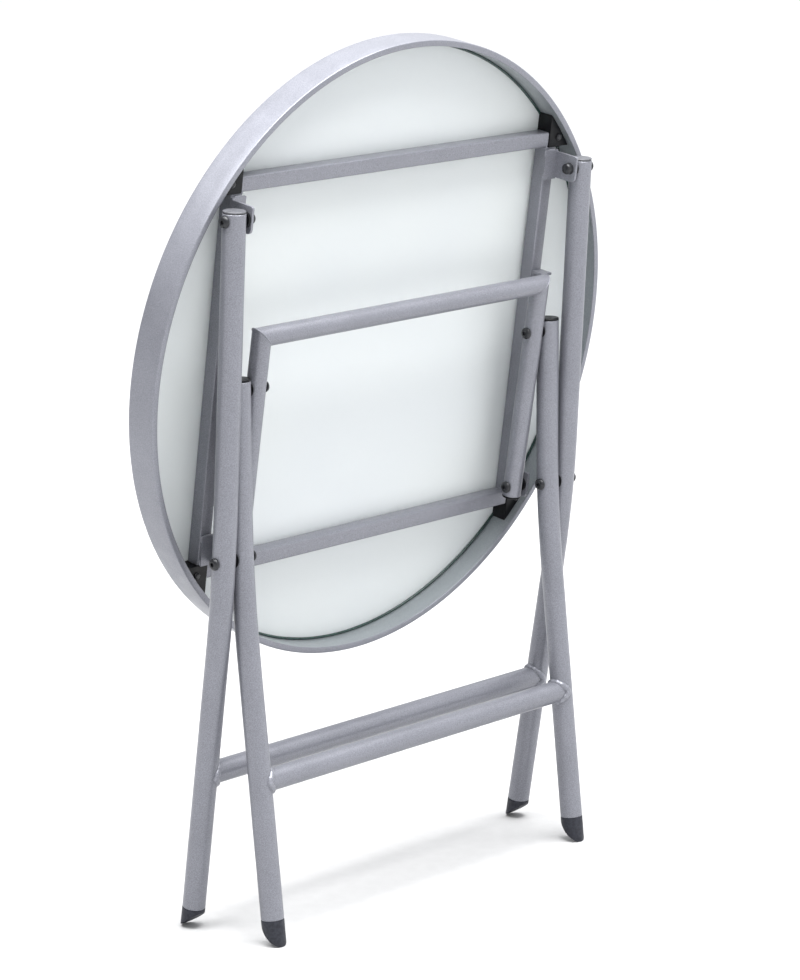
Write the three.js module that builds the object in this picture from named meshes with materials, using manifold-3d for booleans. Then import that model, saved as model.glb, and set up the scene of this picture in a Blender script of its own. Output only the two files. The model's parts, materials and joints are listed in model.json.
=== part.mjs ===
// Folding bistro table, standing folded on its four feet.
// A round framed glass top hangs on crossed leg frames; a link frame with a grab bar locks it open.
// Built in the top's own frame (x across, y towards the glass, z up the folded top), in millimetres,
// then leaned until all four feet touch the floor. Result: millimetres, +Z up.
import * as THREE from 'three';
import { mergeVertices } from 'three/addons/utils/BufferGeometryUtils.js';
import Module from 'manifold-3d';

const wasm = await Module();
wasm.setup();

// ---- driving dimensions ---------------------------------------------------
const GAP = 0.3;               // assembly gap between separate parts
const TOP_RADIUS = 350;        // outside of the rim
const RIM_HEIGHT = 38;
const RIM_LIP = 7;             // rim wall seen from below
const GLASS_SEAT = 28.5;       // ledge that carries the glass
const GLASS_THICKNESS = 5;
const POCKET_WALL = 4;         // rim wall beside the glass
const FRAME_TUBE = 17;         // square tube under the glass
const FRAME_WALL = 1.5;
const FRAME_FRONT = 9.5;       // underside of the square tubes
const CROSSBAR_Z = 214.8;
const CROSSBAR_HALF = 241;
const RAIL_X = 246.5;
const LEG_RADIUS = 12.7;
const STRETCHER_RADIUS = 12.6;
const LINK_RADIUS = 10.8;
const TUBE_WALL = 1.5;
const OUTER_X = 272.6;         // outer leg centrelines
const INNER_X = 245.6;
const LINK_X = 220.5;
const PIVOT_OFFSET = -15.4;    // bracket pivots, below the rim plane
const LEG_PIVOT_Z = 186;
const LINK_PIVOT_Z = -189;
const CROSS = [-46.4, -180];   // leg crossing pivot (y, z) when folded
const LINK_JOINT = [-18.7, -2]; // inner leg to link pivot (y, z) when folded
const OUTER_RISE = 8;          // leg ends beyond their upper pivots
const INNER_RISE = 11;
const LINK_DROP = 11.5;        // links beyond their lower pivots
const BEND_TOP_Z = -125;       // legs are straight above, then bend gently
const BEND_LENGTH = 160;
const OUTER_BEND = -5.9;       // degrees
const INNER_BEND = 6.2;
const OUTER_TOE_IN = 0.0155;   // outer legs draw together below the crossing, per mm
const STRETCHER_DROP = 246;    // stretcher below the crossing pivot, along the leg
const OUTER_FLOOR_DROP = 672.5; // floor below the rim plane when open, at the outer feet
const INNER_FLOOR_DROP = 669.5; // and at the inner feet
const OUTER_FOOT = 17.5;       // foot cap on the leg centreline
const INNER_FOOT = 21.5;
const GRAB_RISE = 56.3;        // grab bar above the link joint
const BOLT_RADIUS = 4;
const BOLT_HEAD = 6.7;
const BOLT_DOME = 4.2;
const BOLT_EDGE = 0.8;         // straight edge of a bolt head
const CAP_NUT = 3.8;           // wall of the domed nut inside each leg bracket
const BRACKET_PLATE = 3;
const BRACKET_HEIGHT = 34;
const EAR_HEIGHT = 30;
const EAR_REACH = 9.3;         // ear beyond its pivot
const SEGMENTS = 24;           // around a tube
const RIM_SEGMENTS = 96;

const STEEL = { color: 0xa9abb6, roughness: 0.42, metalness: 0.75 };
const BAND = { color: 0xb4b6be, roughness: 0.38, metalness: 0.75 };
const BLACK = { color: 0x16171a, roughness: 0.5, metalness: 0.0 };
const PLUG = { color: 0xb9bac0, roughness: 0.5, metalness: 0.1 };
const FOOT = { color: 0x2a2c33, roughness: 0.7, metalness: 0.0 };
const FROSTED = { color: 0xe3e9e4, roughness: 0.35, metalness: 0.0 };
const CLEAR = { color: 0xc9cfcb, roughness: 0.6, metalness: 0.0 };

// ---- mesh helpers ---------------------------------------------------------
function signedVolume(geometry) {
  const p = geometry.attributes.position;
  const index = geometry.index;
  const a = new THREE.Vector3();
  const b = new THREE.Vector3();
  const c = new THREE.Vector3();
  let total = 0;
  for (let i = 0; i < index.count; i += 3) {
    a.fromBufferAttribute(p, index.getX(i));
    b.fromBufferAttribute(p, index.getX(i + 1));
    c.fromBufferAttribute(p, index.getX(i + 2));
    total += a.dot(b.cross(c)) / 6;
  }
  return total;
}

// Weld a geometry into one closed skin that faces outwards.
function closed(source) {
  const bare = new THREE.BufferGeometry();
  bare.setAttribute('position', source.attributes.position.clone());
  if (source.index) bare.setIndex(source.index.clone());
  const geometry = mergeVertices(bare, 1e-4);
  if (signedVolume(geometry) < 0) {
    const list = Array.from(geometry.index.array);
    for (let i = 0; i < list.length; i += 3) {
      [list[i + 1], list[i + 2]] = [list[i + 2], list[i + 1]];
    }
    geometry.setIndex(list);
  }
  return geometry;
}

function toManifold(geometry) {
  return new wasm.Manifold(new wasm.Mesh({
    numProp: 3,
    vertProperties: Float32Array.from(geometry.attributes.position.array),
    triVerts: Uint32Array.from(geometry.index.array),
  }));
}

function fromManifold(solid) {
  const mesh = solid.getMesh();
  const geometry = new THREE.BufferGeometry();
  const step = mesh.numProp;
  const points = [];
  for (let i = 0; i < mesh.vertProperties.length; i += step) {
    points.push(mesh.vertProperties[i], mesh.vertProperties[i + 1], mesh.vertProperties[i + 2]);
  }
  geometry.setAttribute('position', new THREE.Float32BufferAttribute(points, 3));
  geometry.setIndex(Array.from(mesh.triVerts));
  return closed(geometry);
}

function cut(geometry, tools) {
  let solid = toManifold(geometry);
  for (const tool of tools) solid = solid.subtract(toManifold(tool));
  return fromManifold(solid);
}

function join(parts) {
  let solid = toManifold(parts[0]);
  for (const part of parts.slice(1)) solid = solid.add(toManifold(part));
  return fromManifold(solid);
}

// Skin a stack of rings (arrays of Vector3, equal counts). With a bore it is an open-ended tube.
function skin(rings, bore = null) {
  const points = [];
  const faces = [];
  const n = rings[0].length;
  const add = (stack) => {
    const first = points.length;
    for (const ring of stack) points.push(...ring);
    return first;
  };
  const wall = (first, count, flip) => {
    for (let k = 0; k < count - 1; k += 1) {
      for (let i = 0; i < n; i += 1) {
        const a = first + k * n + i;
        const b = first + k * n + ((i + 1) % n);
        const quad = [a, b, b + n, a, b + n, a + n];
        faces.push(...(flip ? quad.reverse() : quad));
      }
    }
  };
  const outer = add(rings);
  wall(outer, rings.length, false);
  const last = outer + (rings.length - 1) * n;
  if (bore) {
    const inner = add(bore);
    wall(inner, bore.length, true);
    const innerLast = inner + (bore.length - 1) * n;
    for (let i = 0; i < n; i += 1) {
      const j = (i + 1) % n;
      faces.push(outer + i, inner + i, inner + j, outer + i, inner + j, outer + j);
      faces.push(last + i, innerLast + j, innerLast + i, last + i, last + j, innerLast + j);
    }
  } else {
    for (const [start, flip] of [[outer, true], [last, false]]) {
      const centre = new THREE.Vector3();
      for (let i = 0; i < n; i += 1) centre.addScaledVector(points[start + i], 1 / n);
      points.push(centre);
      for (let i = 0; i < n; i += 1) {
        const tri = [start + i, start + ((i + 1) % n), points.length - 1];
        faces.push(...(flip ? tri.reverse() : tri));
      }
    }
  }
  const geometry = new THREE.BufferGeometry();
  const numbers = points.flatMap((p) => [p.x, p.y, p.z]);
  geometry.setAttribute('position', new THREE.Float32BufferAttribute(numbers, 3));
  geometry.setIndex(faces);
  return closed(geometry);
}

// Circle of given radius about a centre, spanned by two unit vectors.
function ring(centre, u, v, radius, count = SEGMENTS) {
  return Array.from({ length: count }, (_, i) => {
    const angle = (i / count) * 2 * Math.PI;
    return centre.clone()
      .addScaledVector(u, radius * Math.cos(angle))
      .addScaledVector(v, radius * Math.sin(angle));
  });
}

// Turned part on an axis along x: profile points are (radius, x).
function turned(profile, y, z, segments = 16) {
  const geometry = new THREE.LatheGeometry(profile.map(([r, x]) => new THREE.Vector2(r, x)), segments);
  geometry.rotateZ(-Math.PI / 2);
  geometry.translate(0, y, z);
  return closed(geometry);
}

function cylinderX(x0, x1, y, z, radius, segments = SEGMENTS) {
  return turned([[0, x0], [radius, x0], [radius, x1], [0, x1]], y, z, segments);
}

function box(x0, x1, y0, y1, z0, z1) {
  const geometry = new THREE.BoxGeometry(x1 - x0, y1 - y0, z1 - z0);
  geometry.translate((x0 + x1) / 2, (y0 + y1) / 2, (z0 + z1) / 2);
  return closed(geometry);
}

// Rounded rectangle as (p, q) points, for square tube rings.
function roundedSquare(size, radius, steps = 3) {
  const half = size / 2 - radius;
  const points = [];
  for (let corner = 0; corner < 4; corner += 1) {
    const sx = corner === 0 || corner === 3 ? 1 : -1;
    const sy = corner < 2 ? 1 : -1;
    for (let i = 0; i <= steps; i += 1) {
      const angle = (corner + i / steps) * (Math.PI / 2);
      points.push([sx * half + radius * Math.cos(angle), sy * half + radius * Math.sin(angle)]);
    }
  }
  return points;
}

// Square tube between two values of its long axis; place maps (along, p, q) to a point.
function squareTube(from, to, place) {
  const stack = (size, radius) => [from, to].map((along) => (
    roundedSquare(size, radius).map(([p, q]) => place(along, p, q))));
  return skin(stack(FRAME_TUBE, 1.5), stack(FRAME_TUBE - 2 * FRAME_WALL, 0.6));
}

const mirrorX = (geometry) => closed(geometry.clone().scale(-1, 1, 1));
const mirrorZ = (geometry) => closed(geometry.clone().scale(1, 1, -1));

// ---- assembly bookkeeping -------------------------------------------------
const group = new THREE.Group();
group.name = 'folding_bistro_table';

function put(name, geometry, look) {
  const mesh = new THREE.Mesh(geometry, new THREE.MeshStandardMaterial(look));
  mesh.name = name;
  group.add(mesh);
}

// A right-hand part and its mirror image on the left.
function pair(name, geometry, look) {
  put(`${name}_right`, geometry, look);
  put(`${name}_left`, mirrorX(geometry), look);
}

// ---- linkage: where each leg frame stands when the table is open -------------
const LEG_PIVOT = [PIVOT_OFFSET, LEG_PIVOT_Z];
const LINK_PIVOT = [PIVOT_OFFSET, LINK_PIVOT_Z];
const span = (p, q) => Math.hypot(q[0] - p[0], q[1] - p[1]);
// Direction from p to q, as an angle turning from +z towards +y.
const heading = (p, q) => Math.atan2(q[0] - p[0], q[1] - p[1]);
const legArm = span(LEG_PIVOT, CROSS);
const lockedArm = span(CROSS, LINK_JOINT) + span(LINK_JOINT, LINK_PIVOT);
const baseArm = span(LEG_PIVOT, LINK_PIVOT);
const openAtLegPivot = Math.acos((baseArm ** 2 + legArm ** 2 - lockedArm ** 2) / (2 * baseArm * legArm));
const openCross = [
  LEG_PIVOT[0] - legArm * Math.sin(openAtLegPivot),
  LEG_PIVOT[1] - legArm * Math.cos(openAtLegPivot),
];
const outerTurn = heading(openCross, LEG_PIVOT) - heading(CROSS, LEG_PIVOT);
const innerTurn = heading(openCross, LINK_PIVOT) - heading(CROSS, LINK_JOINT);

// Distance above the open table's floor of a folded-pose point (y, z) on a leg frame.
function openFloorHeight(y, z, turn, floorDrop) {
  const swung = (y - CROSS[0]) * Math.cos(turn) + (z - CROSS[1]) * Math.sin(turn);
  return openCross[0] + swung + floorDrop;
}

// ---- legs -----------------------------------------------------------------
// Centreline of a leg as (y, z) points from the top end down: straight, gentle bend, straight.
// It passes through two given points, one above the bend and one inside it.
function legCurve(upper, inside, bendAngle) {
  const steps = 6;
  const bend = (bendAngle * Math.PI) / 180;
  const trace = (slope) => {
    const points = [[upper[0] - (upper[1] - BEND_TOP_Z) * Math.tan(slope), BEND_TOP_Z]];
    for (let i = 0; i < steps; i += 1) {
      const angle = slope + bend * ((i + 0.5) / steps);
      const [y, z] = points[i];
      const step = BEND_LENGTH / steps;
      points.push([y - step * Math.sin(angle), z - step * Math.cos(angle)]);
    }
    return points;
  };
  const missAt = (slope) => {
    const points = trace(slope);
    const k = points.findIndex(([, z]) => z < inside[1]);
    const t = (points[k - 1][1] - inside[1]) / (points[k - 1][1] - points[k][1]);
    return points[k - 1][0] + t * (points[k][0] - points[k - 1][0]) - inside[0];
  };
  let low = -0.5;
  let high = 0.5;
  for (let i = 0; i < 60; i += 1) {
    const middle = (low + high) / 2;
    if (missAt(middle) > 0) low = middle;
    else high = middle;
  }
  return { slope: (low + high) / 2, endSlope: (low + high) / 2 + bend, points: trace((low + high) / 2) };
}

// Everything that belongs to one leg: tube, end cap and foot, plus where its stretcher goes.
function makeLeg({ x, upper, rise, bendAngle, turn, toeIn, floorDrop, footLength, holes }) {
  const curve = legCurve(upper, CROSS, bendAngle);
  const across = new THREE.Vector3(1, 0, 0);
  const at = (yz) => new THREE.Vector3(x, yz[0], yz[1]);
  const downAt = (slope) => new THREE.Vector3(0, -Math.sin(slope), -Math.cos(slope));
  const sideAt = (slope) => new THREE.Vector3(0, Math.cos(slope), -Math.sin(slope));
  const top = at(upper).addScaledVector(downAt(curve.slope), -rise);
  const lowest = curve.points[curve.points.length - 1];
  const down = downAt(curve.endSlope);
  const side = sideAt(curve.endSlope);

  // where the leg centreline meets the floor of the open table
  const start = at(lowest);
  const h0 = openFloorHeight(start.y, start.z, turn, floorDrop);
  const h1 = openFloorHeight(start.y + down.y, start.z + down.z, turn, floorDrop);
  const fall = h0 - h1;
  const toFloor = h0 / fall;
  const tubeEnd = start.clone().addScaledVector(down, toFloor - footLength);

  const centres = [top, ...curve.points.map(at), tubeEnd];
  const drawIn = (point) => {
    point.x -= toeIn * Math.max(0, CROSS[1] - point.z);
  };
  centres.forEach(drawIn);
  const slopes = [curve.slope];
  curve.points.forEach((_, i) => {
    const bend = curve.endSlope - curve.slope;
    slopes.push(curve.slope + (bend * i) / (curve.points.length - 1));
  });
  slopes.push(curve.endSlope);
  const stack = (radius) => centres.map((c, i) => ring(c, across, sideAt(slopes[i]), radius));
  const solidTube = skin(stack(LEG_RADIUS + GAP));
  const tube = cut(
    skin(stack(LEG_RADIUS), stack(LEG_RADIUS - TUBE_WALL)),
    holes.map(([y, z]) => cylinderX(x - 20, x + 20, y, z, BOLT_RADIUS + GAP, 16)),
  );

  // top cap: a short stem in the tube under a low dome
  const up = downAt(curve.slope).negate();
  const capAt = (height, radius) => (
    ring(top.clone().addScaledVector(up, height), across, sideAt(curve.slope), radius));
  const topCap = skin([
    capAt(-4, LEG_RADIUS - TUBE_WALL - GAP), capAt(GAP, LEG_RADIUS - TUBE_WALL - GAP),
    capAt(GAP, LEG_RADIUS), capAt(1.9, LEG_RADIUS), capAt(3, LEG_RADIUS - 2),
  ]);

  // foot: stem in the tube, then a boot cut off level with the open table's floor
  const stem = LEG_RADIUS - TUBE_WALL - GAP;
  const sole = (radius, lift) => ring(tubeEnd, across, side, radius).map((p) => (
    p.addScaledVector(down, openFloorHeight(p.y, p.z, turn, floorDrop) / fall - lift)));
  const foot = skin([
    ring(tubeEnd.clone().addScaledVector(down, -14), across, side, stem),
    ring(tubeEnd.clone().addScaledVector(down, GAP), across, side, stem),
    ring(tubeEnd.clone().addScaledVector(down, GAP), across, side, LEG_RADIUS),
    sole(LEG_RADIUS, 1.2),
    sole(LEG_RADIUS - 1.4, 0),
  ]);

  // stretcher centre, measured down the leg from the crossing
  const inBend = curve.points[curve.points.length - 1];
  const fromCross = Math.hypot(inBend[0] - CROSS[0], inBend[1] - CROSS[1]);
  const stretcher = at(lowest).addScaledVector(down, STRETCHER_DROP - fromCross);
  drawIn(stretcher);
  return { tube, topCap, foot, solidTube, stretcher };
}

const outerLeg = makeLeg({
  x: OUTER_X,
  upper: LEG_PIVOT,
  rise: OUTER_RISE,
  bendAngle: OUTER_BEND,
  turn: outerTurn,
  toeIn: OUTER_TOE_IN,
  floorDrop: OUTER_FLOOR_DROP,
  footLength: OUTER_FOOT,
  holes: [LEG_PIVOT, CROSS],
});
const innerLeg = makeLeg({
  x: INNER_X,
  upper: LINK_JOINT,
  rise: INNER_RISE,
  bendAngle: INNER_BEND,
  turn: innerTurn,
  toeIn: 0,
  floorDrop: INNER_FLOOR_DROP,
  footLength: INNER_FOOT,
  holes: [LINK_JOINT, CROSS],
});

// Tube between the two legs of a frame, coped to fit round them.
function makeStretcher(leg) {
  const { x, y, z } = leg.stretcher;
  const bar = (radius, reach) => cylinderX(-reach, reach, y, z, radius);
  const blank = cut(bar(STRETCHER_RADIUS, x), [bar(STRETCHER_RADIUS - TUBE_WALL, x + 1)]);
  return cut(blank, [leg.solidTube, mirrorX(leg.solidTube)]);
}

pair('outer_leg', outerLeg.tube, STEEL);
put('outer_stretcher', makeStretcher(outerLeg), STEEL);
pair('outer_top_plug', outerLeg.topCap, PLUG);
pair('outer_foot', outerLeg.foot, FOOT);
pair('inner_leg', innerLeg.tube, STEEL);
put('inner_stretcher', makeStretcher(innerLeg), STEEL);
pair('inner_top_cap', innerLeg.topCap, BLACK);
pair('inner_foot', innerLeg.foot, FOOT);

// ---- link frame: two side links mitred to a grab bar --------------------------
const grabZ = LINK_JOINT[1] + GRAB_RISE;
const linkSlope = Math.atan2(LINK_JOINT[0] - LINK_PIVOT[0], LINK_JOINT[1] - LINK_PIVOT[1]);
const linkUp = new THREE.Vector3(0, Math.sin(linkSlope), Math.cos(linkSlope));
const linkSide = new THREE.Vector3(0, Math.cos(linkSlope), -Math.sin(linkSlope));
const across = new THREE.Vector3(1, 0, 0);
const linkFoot = new THREE.Vector3(LINK_X, ...LINK_PIVOT);
const linkTop = linkFoot.clone().addScaledVector(linkUp, (grabZ - LINK_PIVOT[1]) / linkUp.z);
const MITRE_GAP = 0.2;

function linkStack(radius) {
  const lower = ring(linkFoot.clone().addScaledVector(linkUp, -LINK_DROP), across, linkSide, radius);
  const upper = ring(linkTop, across, linkSide, radius).map((p) => (
    p.addScaledVector(linkUp, p.x - LINK_X - MITRE_GAP)));
  return [lower, upper];
}

function grabStack(radius) {
  const end = (sign) => {
    const centre = new THREE.Vector3(sign * LINK_X, linkTop.y, linkTop.z);
    return ring(centre, linkSide, linkUp, radius).map((p) => {
      const height = p.clone().sub(linkTop).dot(linkUp);
      p.x += sign * (height - MITRE_GAP);
      return p;
    });
  };
  return [end(-1), end(1)];
}

const linkHoles = [LINK_JOINT, LINK_PIVOT].map(([y, z]) => (
  cylinderX(LINK_X - 20, LINK_X + 20, y, z, BOLT_RADIUS + GAP, 16)));
const linkTube = cut(skin(linkStack(LINK_RADIUS), linkStack(LINK_RADIUS - TUBE_WALL)), linkHoles);
pair('link', linkTube, STEEL);
put('grab_bar', skin(grabStack(LINK_RADIUS), grabStack(LINK_RADIUS - TUBE_WALL)), STEEL);

const plugRing = (drop, radius) => (
  ring(linkFoot.clone().addScaledVector(linkUp, -LINK_DROP - drop), across, linkSide, radius));
pair('link_plug', skin([
  plugRing(-5, LINK_RADIUS - TUBE_WALL - GAP), plugRing(GAP, LINK_RADIUS - TUBE_WALL - GAP),
  plugRing(GAP, LINK_RADIUS), plugRing(1.6, LINK_RADIUS), plugRing(2.6, LINK_RADIUS - 2),
]), BLACK);

// ---- pivots: domed bolts and spacer washers ------------------------------------
// Profile of a bolt's domed head on a face, from its edge towards its tip.
function domeProfile(face, sign) {
  return [0, 1, 2].map((i) => {
    const angle = (i / 3) * (Math.PI / 2);
    const height = BOLT_EDGE + (BOLT_DOME - BOLT_EDGE) * Math.sin(angle);
    return [BOLT_HEAD * Math.cos(angle), face + sign * height];
  });
}

// Bolt with a dome at each end, from inner face x0 to outer face x1.
function domedBolt(x0, x1, [y, z], nut = 0) {
  const inner = x0 - GAP;
  const nutFace = inner - nut;
  const outer = x1 + GAP;
  return turned([
    [0, nutFace - BOLT_DOME],
    ...domeProfile(nutFace, -1).reverse(),
    [BOLT_HEAD, inner], [BOLT_RADIUS, inner],
    [BOLT_RADIUS, outer], [BOLT_HEAD, outer],
    ...domeProfile(outer, 1),
    [0, outer + BOLT_DOME],
  ], y, z);
}

function washer(x0, x1, [y, z], radius) {
  const hole = BOLT_RADIUS + GAP;
  const low = x0 + GAP;
  const high = x1 - GAP;
  return turned([[hole, low], [radius, low], [radius, high], [hole, high], [hole, low]], y, z, SEGMENTS);
}

const outerIn = OUTER_X - LEG_RADIUS;
const outerOut = OUTER_X + LEG_RADIUS;
const innerIn = INNER_X - LEG_RADIUS;
const innerOut = INNER_X + LEG_RADIUS;
const linkIn = LINK_X - LINK_RADIUS;
const linkOut = LINK_X + LINK_RADIUS;
const railOut = RAIL_X + FRAME_TUBE / 2;
const railIn = RAIL_X - FRAME_TUBE / 2;
const earOuter = railOut + 1.4;         // leg bracket ear, outer face
const earInner = earOuter - BRACKET_PLATE;
const linkEarOuter = railIn;            // link bracket ear, outer face
const linkEarInner = linkEarOuter - BRACKET_PLATE;

pair('top_pivot_bolt', domedBolt(earInner, outerOut, LEG_PIVOT, CAP_NUT), BLACK);
pair('top_pivot_washer', washer(earOuter, outerIn, LEG_PIVOT, 9), BLACK);
pair('cross_pivot_bolt', domedBolt(innerIn, outerOut, CROSS), BLACK);
pair('cross_pivot_washer', washer(innerOut, outerIn, CROSS, 9), BLACK);
// The lock pivot's shank stops short of the inner leg, where the closed linkage is opened.
const lockHead = linkIn - GAP;
pair('lock_pivot_bolt', turned([
  [0, lockHead - BOLT_DOME],
  ...domeProfile(lockHead, -1).reverse(),
  [BOLT_HEAD, lockHead], [BOLT_RADIUS, lockHead],
  [BOLT_RADIUS, innerIn - GAP], [0, innerIn - GAP],
], ...LINK_JOINT), BLACK);
pair('lock_pivot_washer', washer(linkOut, innerIn, LINK_JOINT, 8), BLACK);
pair('link_pivot_bolt', domedBolt(linkIn, linkEarOuter, LINK_PIVOT), BLACK);
pair('link_pivot_washer', washer(linkOut, linkEarInner, LINK_PIVOT, 8), BLACK);

// ---- tabletop: rim and glass ---------------------------------------------------
const rimInside = TOP_RADIUS - RIM_LIP;
const pocket = TOP_RADIUS - POCKET_WALL;

function turnedTop(profile) {
  return closed(new THREE.LatheGeometry(profile.map(([r, y]) => new THREE.Vector2(r, y)), RIM_SEGMENTS));
}

put('rim', turnedTop([
  [rimInside, 1], [rimInside + 1, 0], [TOP_RADIUS - 2, 0], [TOP_RADIUS, 2],
  [TOP_RADIUS, RIM_HEIGHT - 2], [TOP_RADIUS - 1.5, RIM_HEIGHT], [pocket, RIM_HEIGHT],
  [pocket, GLASS_SEAT], [rimInside, GLASS_SEAT], [rimInside, 1],
]), BAND);

const glassLow = GLASS_SEAT + GAP;
const glassHigh = glassLow + GLASS_THICKNESS;
const glassRadius = pocket - 2 * GAP;
put('glass_top', turnedTop([
  [0, glassLow], [glassRadius - 0.8, glassLow], [glassRadius, glassLow + 0.8],
  [glassRadius, glassHigh - 0.8], [glassRadius - 0.8, glassHigh], [0, glassHigh],
]), FROSTED);

// ---- tabletop: square-tube frame -------------------------------------------------
const frameMiddle = FRAME_FRONT + FRAME_TUBE / 2;
const frameBack = FRAME_FRONT + FRAME_TUBE;
const crossbar = squareTube(-CROSSBAR_HALF, CROSSBAR_HALF, (along, p, q) => (
  new THREE.Vector3(along, frameMiddle + p, CROSSBAR_Z + q)));
put('crossbar_upper', crossbar, STEEL);
put('crossbar_lower', mirrorZ(crossbar), STEEL);
const railHalf = CROSSBAR_Z - FRAME_TUBE / 2 - 2 * GAP;
pair('rail', squareTube(-railHalf, railHalf, (along, p, q) => (
  new THREE.Vector3(RAIL_X + p, frameMiddle + q, along))), STEEL);

// Corner block: fills the corner between the tube ends and the round rim, with a stem in each tube.
const blockX = CROSSBAR_HALF + GAP;
const blockZ = railHalf + GAP;
const blockFront = FRAME_FRONT - 1;
const blockBack = GLASS_SEAT - GAP;
const blockReach = rimInside - GAP;
const STEM_LENGTH = 18;

function cornerBlock() {
  const outline = new THREE.Shape();
  const a0 = Math.asin(blockZ / blockReach);
  const a1 = Math.acos(blockX / blockReach);
  outline.moveTo(blockX, blockZ);
  outline.lineTo(blockReach * Math.cos(a0), blockZ);
  for (let i = 1; i <= 4; i += 1) {
    const angle = a0 + ((a1 - a0) * i) / 4;
    outline.lineTo(blockReach * Math.cos(angle), blockReach * Math.sin(angle));
  }
  const body = new THREE.ExtrudeGeometry(outline, { depth: blockBack - blockFront, bevelEnabled: false });
  body.rotateX(Math.PI / 2);
  body.translate(0, blockBack, 0);
  const stem = FRAME_TUBE / 2 - FRAME_WALL - GAP;
  const low = frameMiddle - stem;
  const high = frameMiddle + stem;
  return join([
    closed(body),
    box(blockX - STEM_LENGTH, blockX + 4, low, high, CROSSBAR_Z - stem, CROSSBAR_Z + stem),
    box(blockX + GAP, RAIL_X + stem, low, high, blockZ - STEM_LENGTH, blockZ + 4),
  ]);
}

const screwX = blockX + 15;
const screwZ = blockZ + 11;
const screwTurn = (profile) => {
  const geometry = new THREE.LatheGeometry(profile.map(([r, y]) => new THREE.Vector2(r, y)), 16);
  geometry.translate(screwX, 0, screwZ);
  return closed(geometry);
};
const screwHole = screwTurn([
  [0, blockFront - 1], [2.3, blockFront - 1], [2.3, blockFront + 12], [0, blockFront + 12],
]);
const screwFace = blockFront - GAP;
const screw = screwTurn([
  [0, screwFace - 2.4], [2.4, screwFace - 2.2], [3.9, screwFace - 1.2], [4.2, screwFace], [2, screwFace],
  [2, blockFront + 11], [0, blockFront + 11],
]);
const block = cut(cornerBlock(), [screwHole]);
for (const [level, place] of [['upper', (g) => g], ['lower', mirrorZ]]) {
  pair(`corner_block_${level}`, place(block), BLACK);
  pair(`corner_screw_${level}`, place(screw), BLACK);
  pair(`glass_pad_${level}`, place(box(
    110, 134, frameBack + GAP, GLASS_SEAT - GAP, CROSSBAR_Z - 5, CROSSBAR_Z + 5)), CLEAR);
}

// ---- tabletop: brackets -----------------------------------------------------------
// Angle bracket: a flange along a rail's underside and an ear that carries a pivot.
function bracket(flangeX0, flangeX1, earX0, centreZ) {
  const back = FRAME_FRONT - GAP;
  const front = PIVOT_OFFSET - EAR_REACH;
  const half = EAR_HEIGHT / 2;
  const outline = new THREE.Shape();
  outline.moveTo(back, -half);
  outline.lineTo(front + 6, -half);
  outline.quadraticCurveTo(front, -half, front, -half + 6);
  outline.lineTo(front, half - 3);
  outline.quadraticCurveTo(front, half, front + 3, half);
  outline.lineTo(back, half);
  outline.lineTo(back, -half);
  const plate = new THREE.ExtrudeGeometry(outline, {
    depth: BRACKET_PLATE, bevelEnabled: false, curveSegments: 4,
  });
  // the outline's x and y become y and z, and its depth becomes x
  plate.applyMatrix4(new THREE.Matrix4().set(0, 0, 1, earX0, 1, 0, 0, 0, 0, 1, 0, centreZ, 0, 0, 0, 1));
  const reach = BRACKET_HEIGHT / 2;
  const flange = box(flangeX0, flangeX1, back - BRACKET_PLATE, back, centreZ - reach, centreZ + reach);
  const hole = cylinderX(earX0 - 5, earX0 + 8, PIVOT_OFFSET, centreZ, BOLT_RADIUS + GAP, 16);
  return cut(join([closed(plate), flange]), [hole]);
}

pair('leg_bracket', bracket(railIn - 2, earOuter, earInner, LEG_PIVOT_Z), STEEL);
pair('link_bracket', bracket(linkEarInner, railOut - 1, linkEarInner, LINK_PIVOT_Z), STEEL);

// Stop tab behind each end of the grab bar: a foot on the rail and a lip towards the bar.
const tabBack = FRAME_FRONT - GAP;
const tabFront = linkTop.y + LINK_RADIUS + 1.6;
pair('bar_stop', join([
  box(railIn + 0.8, railOut - 0.8, tabBack - 2.5, tabBack, grabZ - 8, grabZ + 7),
  box(railIn + 0.8, railOut - 0.8, tabFront, tabBack, grabZ + 4.2, grabZ + 7),
]), STEEL);

// ---- stand the folded table on its feet --------------------------------------------
function lowestOf(names, lean) {
  let lowest = Infinity;
  for (const name of names) {
    const p = group.getObjectByName(name).geometry.attributes.position;
    for (let i = 0; i < p.count; i += 1) {
      lowest = Math.min(lowest, p.getY(i) * Math.sin(lean) + p.getZ(i) * Math.cos(lean));
    }
  }
  return lowest;
}

let leanLow = 0;
let leanHigh = 0.4;
for (let i = 0; i < 50; i += 1) {
  const lean = (leanLow + leanHigh) / 2;
  if (lowestOf(['outer_foot_right'], lean) < lowestOf(['inner_foot_right'], lean)) leanLow = lean;
  else leanHigh = lean;
}
const lean = (leanLow + leanHigh) / 2;
const stand = new THREE.Matrix4().makeRotationX(lean);
group.children.forEach((mesh) => mesh.geometry.applyMatrix4(stand));
const outlineBox = new THREE.Box3().setFromObject(group);
const middle = outlineBox.getCenter(new THREE.Vector3());
group.children.forEach((mesh) => mesh.geometry.translate(0, -middle.y, -outlineBox.min.z));

export default group;
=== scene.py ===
"""Looks of the folding bistro table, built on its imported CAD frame.

Shapes are described in millimetres in the tabletop's own frame: x across, y towards the glass,
z up the folded top. make() turns them into the row frame, in metres.
"""

import json
import math
import random

import bmesh
import bpy
from mathutils import Matrix, Vector


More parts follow.
